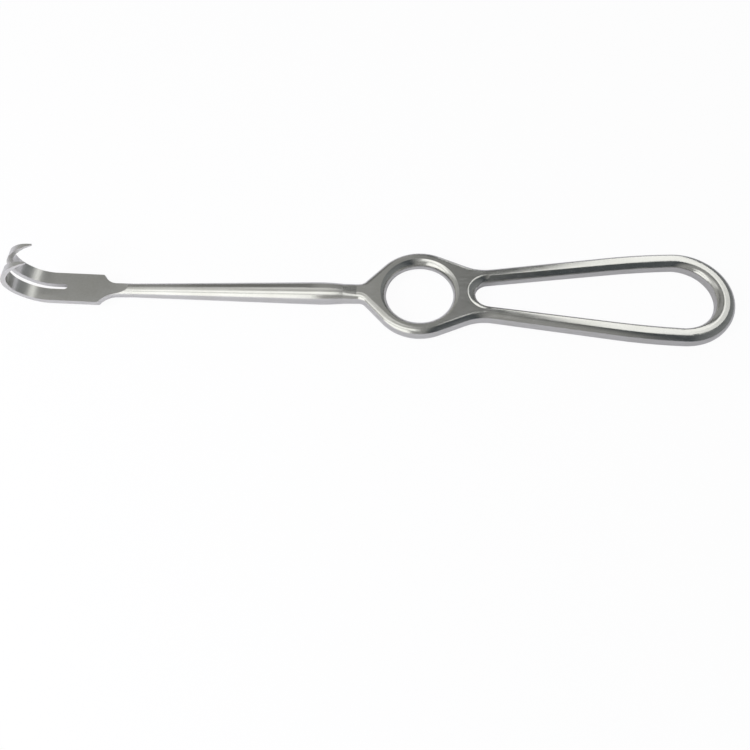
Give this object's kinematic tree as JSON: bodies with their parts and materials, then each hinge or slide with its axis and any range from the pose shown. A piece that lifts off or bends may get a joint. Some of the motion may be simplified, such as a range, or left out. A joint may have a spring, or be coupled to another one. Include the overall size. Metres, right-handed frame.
{
  "type": "rake retractor",
  "caption": "Handheld steel retractor with a forked, upward curled blade, a round tapered shank and a flat handle with a finger ring and an open grip loop.",
  "frame": {"origin": "centre of the finger ring, halfway through its thickness", "axes": "+X along the instrument towards the end of the grip loop, +Z out of the ring's flat face on the side to which the prongs curl"},
  "size_m": [0.2201, 0.0316, 0.0219],
  "materials": {
    "satin_steel": "fine satin, bead-blasted"
  },
  "bodies": {
    "root": {"handle": "satin_steel", "shank": "satin_steel", "blade": "satin_steel"}
  },
  "joints": []
}
